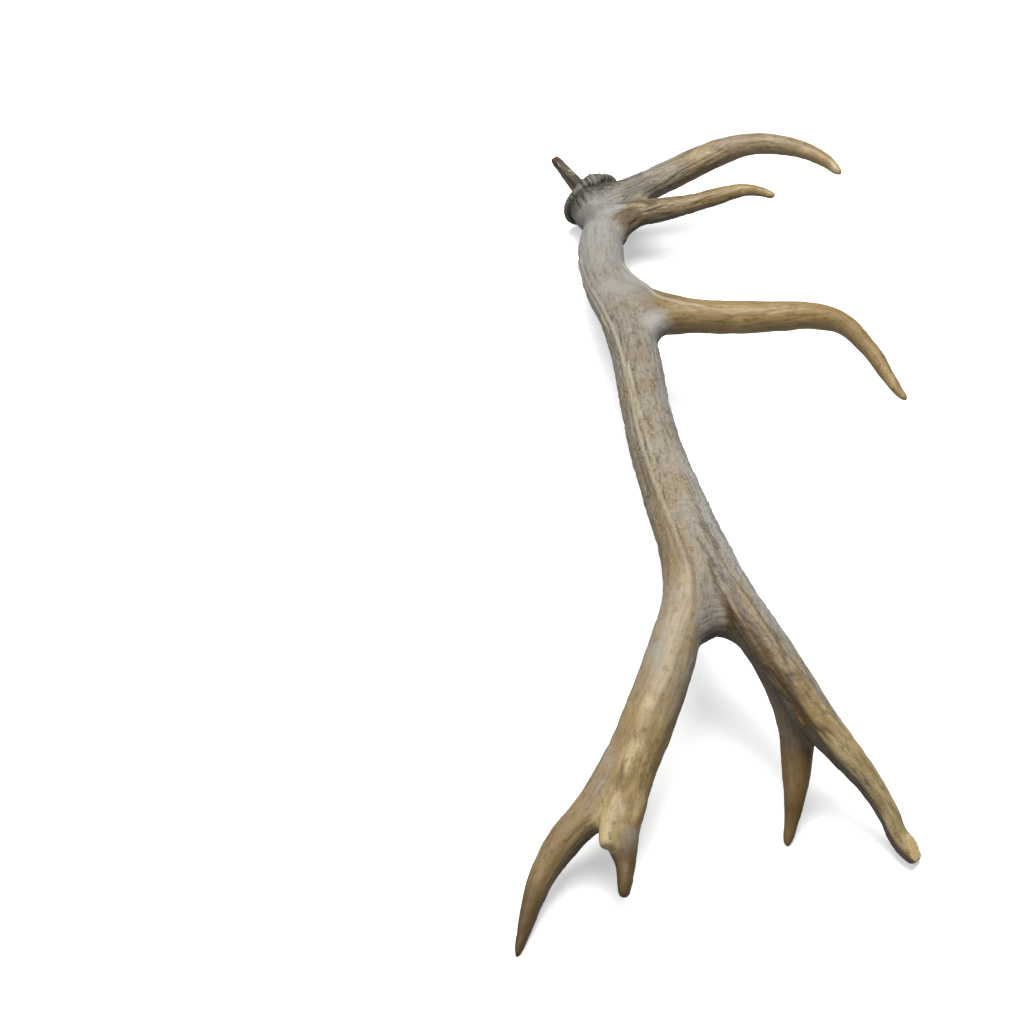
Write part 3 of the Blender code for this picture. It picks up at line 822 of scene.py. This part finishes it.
class Finish:
    """A material under a plain name, with short words for the nodes that it needs."""

    def __init__(self, name):
        self.material = bpy.data.materials.new(name)
        self.material.use_nodes = True
        self.tree = self.material.node_tree
        self.shader = self.tree.nodes["Principled BSDF"]
        self.place = self.tree.nodes.new("ShaderNodeTexCoord").outputs["Object"]

    def feed(self, socket, source):
        if isinstance(source, (int, float, tuple)):
            socket.default_value = source
        else:
            self.tree.links.new(source, socket)

    def attribute(self, name):
        node = self.tree.nodes.new("ShaderNodeAttribute")
        node.attribute_name = name
        return node.outputs["Vector"]

    def parts(self, vector):
        node = self.tree.nodes.new("ShaderNodeSeparateXYZ")
        self.feed(node.inputs[0], vector)
        return node.outputs[:]

    def maths(self, operation, a, b):
        node = self.tree.nodes.new("ShaderNodeMath")
        node.operation = operation
        self.feed(node.inputs[0], a)
        self.feed(node.inputs[1], b)
        return node.outputs[0]

    def mix(self, amount, a, b):
        node = self.tree.nodes.new("ShaderNodeMix")
        node.data_type = "RGBA"
        self.feed(node.inputs[0], amount)
        self.feed(node.inputs[6], a)
        self.feed(node.inputs[7], b)
        return node.outputs[2]

    def ramp(self, source, low, high, first=0.0, last=1.0):
        node = self.tree.nodes.new("ShaderNodeMapRange")
        node.interpolation_type = "SMOOTHSTEP"
        for socket, number in zip(node.inputs, (source, low, high, first, last)):
            self.feed(socket, number)
        return node.outputs[0]

    def noise(self, vector, scale, detail=3.0):
        node = self.tree.nodes.new("ShaderNodeMapping")
        node.inputs["Scale"].default_value = scale
        self.feed(node.inputs["Vector"], vector)
        cloud = self.tree.nodes.new("ShaderNodeTexNoise")
        cloud.inputs["Scale"].default_value = 1
        cloud.inputs["Detail"].default_value = detail
        self.feed(cloud.inputs["Vector"], node.outputs[0])
        return cloud.outputs["Fac"]

    def fibre(self, place, across, along):
        """Thin streaks along the z of a place: how many a metre across and along them."""
        node = self.tree.nodes.new("ShaderNodeGroup")
        node.node_tree = fibre
        for socket, source in zip(node.inputs, (place, across, along)):
            self.feed(socket, source)
        return node.outputs[0]

    def turned(self, frame):
        """Places as seen from a frame of their own."""
        node = self.tree.nodes.new("ShaderNodeMapping")
        node.vector_type = "TEXTURE"
        node.inputs["Location"].default_value = frame.translation
        node.inputs["Rotation"].default_value = frame.to_euler()
        self.feed(node.inputs["Vector"], self.place)
        return node.outputs[0]

    def cells(self, vector, scale, stir):
        """How far each spot is from the middle of its cell, in uneven cells."""
        node = self.tree.nodes.new("ShaderNodeMapping")
        node.inputs["Scale"].default_value = scale
        self.feed(node.inputs["Vector"], vector)
        cloud = self.tree.nodes.new("ShaderNodeTexNoise")
        cloud.inputs["Scale"].default_value = 0.7
        cloud.inputs["Detail"].default_value = 1
        self.feed(cloud.inputs["Vector"], node.outputs[0])
        shift = self.tree.nodes.new("ShaderNodeVectorMath")
        shift.operation = "MULTIPLY_ADD"
        shift.inputs[1].default_value = (stir, stir, stir)
        self.feed(shift.inputs[0], cloud.outputs["Color"])
        self.feed(shift.inputs[2], node.outputs[0])
        cells = self.tree.nodes.new("ShaderNodeTexVoronoi")
        cells.inputs["Scale"].default_value = 1
        self.feed(cells.inputs["Vector"], shift.outputs[0])
        return cells.outputs["Distance"]

    def stirred(self, mask, cloud, how_much):
        """A mask made uneven by a cloud."""
        shift = self.maths("MULTIPLY", self.maths("SUBTRACT", cloud, 0.5), how_much)
        return self.maths("ADD", mask, shift)

    def bump(self, height, distance, strength):
        node = self.tree.nodes.new("ShaderNodeBump")
        node.inputs["Strength"].default_value = strength
        node.inputs["Distance"].default_value = distance
        self.feed(node.inputs["Height"], height)
        self.feed(self.shader.inputs["Normal"], node.outputs[0])


TAN = (0.225, 0.18, 0.12, 1)
GREY = (0.285, 0.275, 0.252, 1)
OCHRE = (0.262, 0.176, 0.07, 1)
IVORY = (0.40, 0.31, 0.155, 1)
PALE = (0.42, 0.38, 0.29, 1)
UMBER = (0.075, 0.042, 0.009, 1)
SHADE = (0.10, 0.085, 0.058, 1)
DIRT_AND_SHADE = (0.045, 0.038, 0.026, 1)
SAWN = (0.60, 0.43, 0.21, 1)
PORES = (0.11, 0.075, 0.04, 1)

bone = Finish("antler_bone")
grain_place = bone.attribute("grain")
dust, ochre, ivory = bone.parts(bone.attribute("stain"))
furrows, umber, one_limb = bone.parts(bone.attribute("wear_and_shade"))
hollows, soil_and_shade, broken_face = bone.parts(bone.attribute("grime_and_shade"))
grooved, crest_light, pearled = bone.parts(bone.attribute("ridge"))
cut_face, cut_core, seam_top = bone.parts(bone.attribute("base"))
shaded = bone.parts(bone.attribute("shade"))[0]

patches = bone.noise(bone.place, (28, 28, 28), 4)
clouds = bone.noise(bone.place, (80, 80, 80), 3)
specks = bone.noise(bone.place, (430, 430, 430), 2)
mottle = bone.noise(grain_place, (95, 95, 40), 4)
freckles = bone.noise(grain_place, (260, 260, 130), 3)
threads = bone.fibre(grain_place, 620, 34)
streaks = bone.fibre(grain_place, 230, 14)
saw_marks = bone.fibre(bone.turned(burr_frame), 900, 0)
cells = bone.cells(bone.place, (400, 270, 400), 0.9)
pearl = bone.ramp(cells, 0.62, 0.0)
pit = bone.ramp(cells, 0.42, 0.72)
crusty = bone.maths("MULTIPLY", pearled, bone.ramp(clouds, 0.4, 0.6, 0.15, 1.0))
streaked = bone.maths("MULTIPLY", one_limb, grooved)

# The stains go on one over the other, each made uneven by a cloud.
tone = bone.mix(bone.ramp(bone.stirred(dust, patches, 0.9), 0.1, 0.95), TAN, GREY)
tone = bone.mix(bone.ramp(bone.stirred(ochre, clouds, 0.8), 0.1, 1.0), tone, OCHRE)
tone = bone.mix(bone.ramp(bone.stirred(ivory, mottle, 2.0), 0.3, 0.9), tone, IVORY)
crest_light = bone.maths("MULTIPLY", crest_light, bone.ramp(mottle, 0.38, 0.55, 0.2, 0.9))
tone = bone.mix(crest_light, tone, IVORY)
# Umber is stain, and also painted shade on the front arm's lee, the beam's flank, the bez web and
# the inner tine.
tone = bone.mix(bone.ramp(bone.stirred(umber, patches, 0.7), 0.15, 1.1), tone, UMBER)
# Painted shade, with some dirt, on the undersides of the limbs.
tone = bone.mix(bone.ramp(bone.stirred(shaded, clouds, 0.5), 0.1, 1.1), tone, SHADE)

# Dark streaks along the grain, pale pearls with dark pits between them, and freckles.
dark_streaks = bone.maths("MULTIPLY", streaked, bone.ramp(streaks, 0.5, 0.35, 0.0, 0.5))
tone = bone.mix(dark_streaks, tone, UMBER)
dark_threads = bone.maths("MULTIPLY", streaked, bone.ramp(threads, 0.47, 0.33, 0.0, 0.6))
tone = bone.mix(dark_threads, tone, DIRT_AND_SHADE)
pits = bone.maths("MULTIPLY", crusty, bone.ramp(pit, 0.0, 1.0, 0.0, 0.32))
tone = bone.mix(pits, tone, DIRT_AND_SHADE)
pearl_tops = bone.maths("MULTIPLY", crusty, bone.ramp(pearl, 0.5, 1.0, 0.0, 0.35))
tone = bone.mix(pearl_tops, tone, PALE)
clean = bone.ramp(dust, 0.9, 0.5, 0.0, 0.4)
freckled = bone.maths("MULTIPLY", bone.ramp(freckles, 0.56, 0.68), clean)
tone = bone.mix(freckled, tone, UMBER)

# Dirt in furrows, dirt and painted shade in hollows and on the burr, and the two faces where the
# bone is laid open.
tone = bone.mix(bone.ramp(furrows, 0.2, 1.0, 0.0, 0.65), tone, DIRT_AND_SHADE)
tone = bone.mix(bone.ramp(hollows, 0.2, 1.4, 0.0, 0.7), tone, DIRT_AND_SHADE)
tone = bone.mix(seam_top, tone, PALE)
# Dirt and painted shade on the burr, the collar and the left of the neck, weaker on raised spots.
soiled_and_shaded = bone.maths("MULTIPLY", soil_and_shade, bone.ramp(hollows, -0.9, 0.4, 0.5, 1.0))
tone = bone.mix(soiled_and_shaded, tone, DIRT_AND_SHADE)
tone = bone.mix(bone.ramp(specks, 0.42, 0.25, 0.0, 0.3), tone, DIRT_AND_SHADE)
tone = bone.mix(broken_face, tone, SAWN)
porous = bone.maths("MULTIPLY", cut_core, bone.ramp(cells, 0.6, 0.35))
face = bone.mix(bone.ramp(saw_marks, 0.55, 0.4, 0.0, 0.35), SAWN, PORES)
face = bone.mix(porous, face, PORES)
face = bone.mix(bone.ramp(hollows, 0.4, 1.6, 0.0, 0.9), face, DIRT_AND_SHADE)
tone = bone.mix(cut_face, tone, face)
bone.feed(bone.shader.inputs["Base Color"], tone)
gloss = bone.ramp(bone.stirred(dust, specks, 0.5), 0.0, 1.0, 0.42, 0.6)
pearl_gloss = bone.maths("MULTIPLY", bone.maths("MULTIPLY", crusty, pearl), 0.15)
bone.feed(bone.shader.inputs["Roughness"], bone.maths("SUBTRACT", gloss, pearl_gloss))
bone.shader.inputs["Specular IOR Level"].default_value = 0.35
raised = bone.maths("MULTIPLY", bone.maths("MULTIPLY", threads, one_limb), 0.5)
raised = bone.maths("ADD", raised, bone.maths("MULTIPLY", crusty, pearl))
raised = bone.maths("ADD", raised, bone.maths("MULTIPLY", specks, 0.25))
raised = bone.maths("ADD", raised, bone.maths("MULTIPLY", cut_face, saw_marks))
bone.bump(raised, 0.9 * MM, 0.7)


# Forks. The antler is one piece of bone. It is parted at the same places as the solids, so that
# each of them has its own skin, and the parted rims meet exactly.
CUTS = (
    # The limb, the point of it that is cut through, and how far the cut reaches, in millimetres.
    (BROW, 3, 19), (BEZ, 3, 14), (TREZ, 3, 26), (STEM, 13, 32), (FRONT_CROWN, 6, 40),
    (REAR_TINE, 4, 19), (INNER_TINE, 5, 17),
)
BONES = {
    # A point of a limb that lies inside each piece.
    "main_beam": STEM[5], "brow_tine": BROW[5], "bez_tine": BEZ[4], "trez_tine": TREZ[6],
    "rear_crown_branch": STEM[15], "rear_crown_tine": REAR_TINE[6],
    "front_crown_branch": FRONT_CROWN[9], "inner_crown_tine": INNER_TINE[6],
}


def spot_of(point):
    """The place of a point of a limb, in metres."""
    return (Vector(point[:3]) - ORIGIN) * MM


whole = bmesh.new()
whole.from_mesh(mesh)
bpy.data.meshes.remove(mesh)
for line, k, reach in CUTS:
    centre = spot_of(line[k])
    across = (spot_of(line[k + 1]) - spot_of(line[k - 1])).normalized()
    near = [face for face in whole.faces
            if (face.verts[0].co - centre).length < (reach + 4) * MM]
    around = {item for face in near for item in (*face.edges, *face.verts)}
    made = bmesh.ops.bisect_plane(
        whole, geom=[*around, *near], dist=HAIR, plane_co=centre, plane_no=across)
    rim = [item for item in made["geom_cut"] if isinstance(item, bmesh.types.BMEdge)]
    bmesh.ops.split_edges(whole, edges=rim)

whole.verts.index_update()
left = set(whole.verts)
shells = []
while left:
    front = [left.pop()]
    shell = set(front)
    while front:
        for edge in front.pop().link_edges:
            for vert in edge.verts:
                if vert in left:
                    left.remove(vert)
                    shell.add(vert)
                    front.append(vert)
    shells.append(shell)

for name, point in BONES.items():
    spot = spot_of(point)
    shell = min(shells, key=lambda shell: min((vert.co - spot).length for vert in shell))
    shells.remove(shell)
    inside = {vert.index for vert in shell}
    part = whole.copy()
    bmesh.ops.delete(part, geom=[vert for vert in part.verts if vert.index not in inside])
    rim = [edge for edge in part.edges if edge.is_boundary]
    for face in part.faces:
        face.smooth = True
    bmesh.ops.holes_fill(part, edges=rim)
    for edge in rim:
        edge.smooth = False
    skin_mesh = bpy.data.meshes.new(name + "_bone")
    part.to_mesh(skin_mesh)
    part.free()
    piece = bpy.data.objects.new(name + "_bone", skin_mesh)
    bpy.context.scene.collection.objects.link(piece)
    skin_mesh.materials.append(bone.material)
    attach(piece, "root")
    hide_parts(name)
whole.free()


# Peg. A split of dark wood, whittled square with a knife and driven into a hole in the sawn base,
# so that the antler could be fixed up. The shavings leave flat facets that taper to the end.
PEG_IN = 24 * MM
PEG_OUT = 61 * MM
PEG_BLANK = 9.5 * MM
SHAVINGS = (
    # The way that a facet faces, in degrees, and how far it lies from the middle of the peg at the
    # bone and at the tip, in millimetres. The last three cut corners off the tip alone.
    (10, 7.2, 4.4),
    (98, 7.5, 4.1),
    (186, 7.0, 4.5),
    (275, 7.6, 4.2),
    (52, 8.9, 5.2),
    (143, 8.7, 5.0),
    (231, 8.9, 5.3),
    (322, 9.0, 5.1),
    (75, 17, 3.2),
    (165, 21, 3.0),
    (300, 19, 3.3),
)
PEG_STEP = 0.6 * MM
SPLIT_DEPTH = 0.5 * MM
SPLIT_SIZE = (0.0016, 0.022)
KNOT_SIZE = (0.007, 0.011)
HEARTWOOD = (0.035, 0.022, 0.013, 1)
SAPWOOD = (0.09, 0.072, 0.047, 1)
RED_TIP = (0.062, 0.03, 0.017, 1)
CRACK = (0.025, 0.017, 0.011, 1)
CHIP = (0.3, 0.24, 0.17, 1)
peg_bm = bmesh.new()
bmesh.ops.create_cube(
    peg_bm, size=1,
    matrix=Matrix.Translation((0, 0, (PEG_OUT - PEG_IN) / 2))
    @ Matrix.Diagonal((2 * PEG_BLANK, 2 * PEG_BLANK, PEG_IN + PEG_OUT, 1)),
)
for turn, at_base, at_tip in SHAVINGS:
    side = Vector((math.cos(math.radians(turn)), math.sin(math.radians(turn)), 0))
    facet = side + Vector((0, 0, (at_base - at_tip) * MM / PEG_OUT))
    bmesh.ops.bisect_plane(
        peg_bm, geom=peg_bm.verts[:] + peg_bm.edges[:] + peg_bm.faces[:], dist=0.001 * MM,
        plane_co=side * at_base * MM, plane_no=facet, clear_outer=True)
    bmesh.ops.holes_fill(peg_bm, edges=[edge for edge in peg_bm.edges if edge.is_boundary])
peg = placed("peg_wood", peg_bm)
skin(peg, PEG_STEP)
smooth(peg, 2)
peg_bm = settled(peg)

# The wood is split along its fibres and stands out a little round its knots.
peg_bm.normal_update()
for vert in peg_bm.verts:
    x, y, z = vert.co
    split = noise.noise(Vector((x / SPLIT_SIZE[0], y / SPLIT_SIZE[0], z / SPLIT_SIZE[1])))
    knot = noise.noise(Vector((x / KNOT_SIZE[0], y / KNOT_SIZE[0], z / KNOT_SIZE[1] + 5)))
    depth = SPLIT_DEPTH * (max(0, 0.25 - abs(split)) * 2 - 1.2 * max(0, knot - 0.1))
    vert.co -= vert.normal * depth
for face in peg_bm.faces:
    face.smooth = True
peg_frame = Matrix.Translation(PEG_ROOT) @ OUTWARD.to_track_quat("Z", "Y").to_matrix().to_4x4()
peg_bm.transform(peg_frame)
peg = placed("peg_wood", peg_bm)

wood = Finish("peg_wood")
peg_place = wood.turned(peg_frame)
fibres = wood.fibre(peg_place, 900, 45)
rings = wood.fibre(peg_place, 260, 12)
chips = wood.noise(peg_place, (300, 300, 150), 2)
height = wood.parts(peg_place)[2]
near_tip = wood.ramp(wood.stirred(height, rings, 0.02), PEG_OUT - 16 * MM, PEG_OUT - 4 * MM)
halfway = wood.ramp(height, PEG_OUT * 0.35, PEG_OUT * 0.5)
tone = wood.mix(wood.ramp(rings, 0.4, 0.6), HEARTWOOD, SAPWOOD)
tone = wood.mix(near_tip, tone, RED_TIP)
tone = wood.mix(wood.ramp(fibres, 0.5, 0.3, 0.0, 0.7), tone, CRACK)
chipped = wood.maths(
    "MULTIPLY", wood.ramp(chips, 0.6, 0.66), wood.ramp(halfway, 0.0, 1.0, 0.0, 0.8))
chipped = wood.maths("MULTIPLY", chipped, wood.ramp(near_tip, 1.0, 0.0))
tone = wood.mix(chipped, tone, CHIP)
wood.feed(wood.shader.inputs["Base Color"], tone)
wood.shader.inputs["Roughness"].default_value = 0.65
wood.bump(fibres, 0.5 * MM, 0.7)
peg.data.materials.append(wood.material)
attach(peg, "root")
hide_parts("peg")


# Studio. A plain pale floor under one broad soft light from above and a weaker one from the left.
# The floor looks white to the camera, and throws less light up at the bone than white paper would.
FLOOR_SIZE = 12
WHITE_PAPER = (0.86, 0.86, 0.86, 1)
WHITER_PAPER = (0.89, 0.89, 0.89, 1)
PAPER_FROM_BELOW = (0.34, 0.34, 0.34, 1)
GLOW = (1, 1, 1, 1)
NO_GLOW = (0, 0, 0, 1)
floor_bm = bmesh.new()
bmesh.ops.create_grid(floor_bm, x_segments=1, y_segments=1, size=FLOOR_SIZE)
floor = placed("floor", floor_bm)
paper = Finish("paper")
faint = paper.noise(paper.place, (3, 3, 3), 2)
sheet = paper.mix(faint, WHITE_PAPER, WHITER_PAPER)
seen = paper.tree.nodes.new("ShaderNodeLightPath").outputs["Is Camera Ray"]
paper.feed(paper.shader.inputs["Base Color"], paper.mix(seen, PAPER_FROM_BELOW, sheet))
paper.feed(paper.shader.inputs["Emission Color"], paper.mix(seen, NO_GLOW, GLOW))
paper.shader.inputs["Emission Strength"].default_value = 0.4
paper.shader.inputs["Roughness"].default_value = 0.9
paper.shader.inputs["Specular IOR Level"].default_value = 0.1
floor.data.materials.append(paper.material)

LIGHTS = (
    # Where a light hangs and what it points at, in metres, how wide it is, and its power in watts.
    ("overhead", (-0.1, 0.35, 2.6), (0, -0.1, 0), 1.9, 100),
    ("side", (-2.0, -0.7, 1.9), (0, -0.1, 0), 1.8, 22),
)
for name, place, aim, size, power in LIGHTS:
    glow = bpy.data.lights.new(name, "AREA")
    glow.shape = "DISK"
    glow.size = size
    glow.energy = power
    lamp = bpy.data.objects.new(name, glow)
    lamp.location = place
    lamp.rotation_euler = (Vector(aim) - Vector(place)).to_track_quat("-Z", "Y").to_euler()
    bpy.context.scene.collection.objects.link(lamp)
sky = bpy.data.worlds.new("sky")
sky.use_nodes = True
sky.node_tree.nodes["Background"].inputs["Color"].default_value = (0.98, 0.99, 1.0, 1)
sky.node_tree.nodes["Background"].inputs["Strength"].default_value = 0.22
bpy.context.scene.world = sky
bpy.context.scene.view_settings.view_transform = "Standard"

# The camera looks down at 45 degrees from the crown's end, as the photograph's does.
EYE = Vector((-0.1832, -1.3133, 1.3018))
AIM = Vector((-0.1832, -0.0122, 0.0007))
FOCAL_PIXELS = 2000
IMAGE_PIXELS = 1024
SENSOR = 36
lens = bpy.data.cameras.new("photo")
lens.sensor_width = SENSOR
lens.lens = SENSOR * FOCAL_PIXELS / IMAGE_PIXELS
camera = bpy.data.objects.new("photo", lens)
camera.location = EYE
camera.rotation_euler = (AIM - EYE).to_track_quat("-Z", "Y").to_euler()
bpy.context.scene.collection.objects.link(camera)
bpy.context.scene.camera = camera
